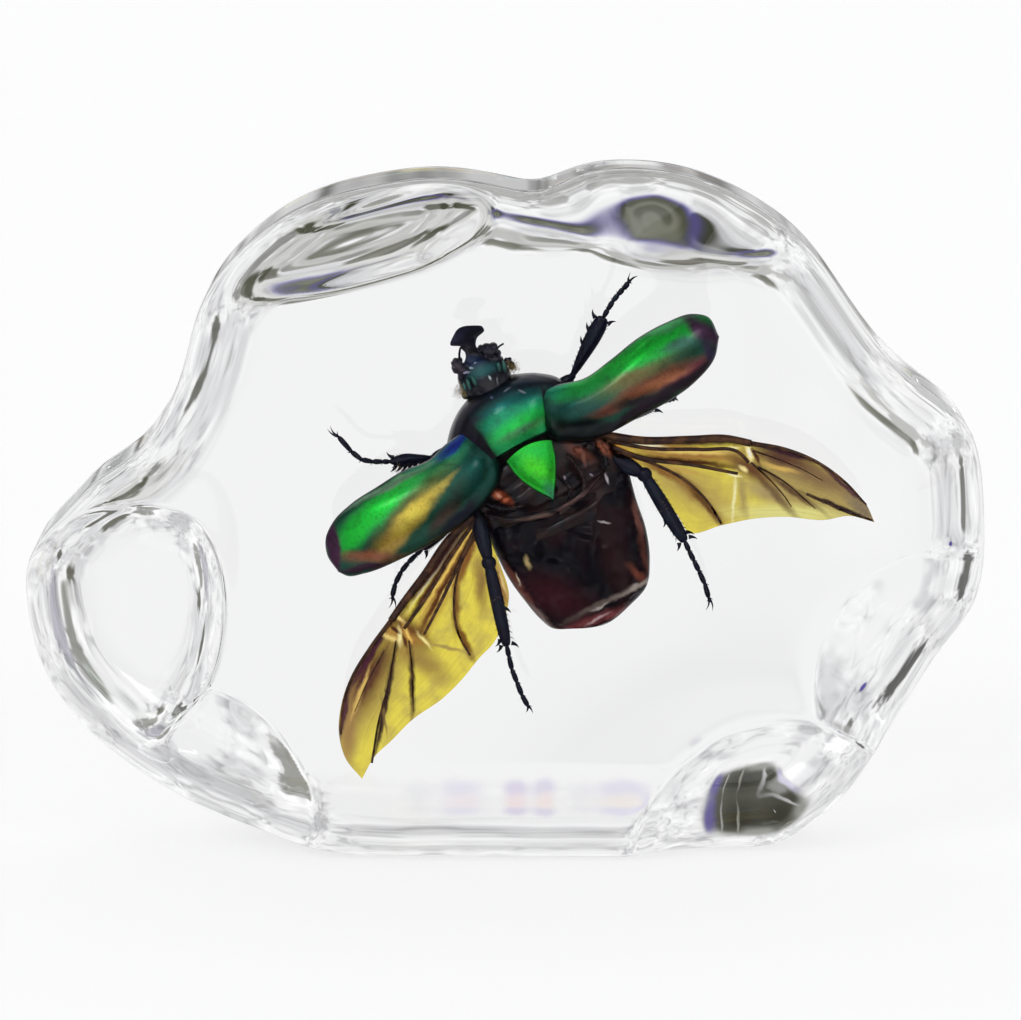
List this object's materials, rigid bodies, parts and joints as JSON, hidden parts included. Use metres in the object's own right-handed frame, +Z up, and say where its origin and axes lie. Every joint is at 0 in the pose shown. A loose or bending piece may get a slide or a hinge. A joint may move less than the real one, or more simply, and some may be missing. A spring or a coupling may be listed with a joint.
{
  "type": "insect in resin block",
  "caption": "Free-form clear resin block that stands on its flat base, with a green flower beetle sealed inside in a flight pose.",
  "frame": {"origin": "bottom centre of the block, on its flat base", "axes": "+X to the right seen from the beetle's upper side, +Y from the front face to the back face, +Z up"},
  "size_m": [0.11, 0.026, 0.0795],
  "materials": {
    "clear_resin": "polished, colourless, see-through",
    "green_shell": "metallic green beetle shell with gold and copper bands and dark purple edges",
    "dark_cuticle": "glossy blue-black cuticle",
    "wing_membrane": "thin clear amber membrane with folds",
    "wing_vein": "dark brown veins",
    "abdomen_skin": "wrinkled glossy brown-black skin, red-brown at its edge",
    "fine_hair": "short yellow-brown hairs"
  },
  "bodies": {
    "root": {"resin_block": "clear_resin"}
  },
  "joints": []
}
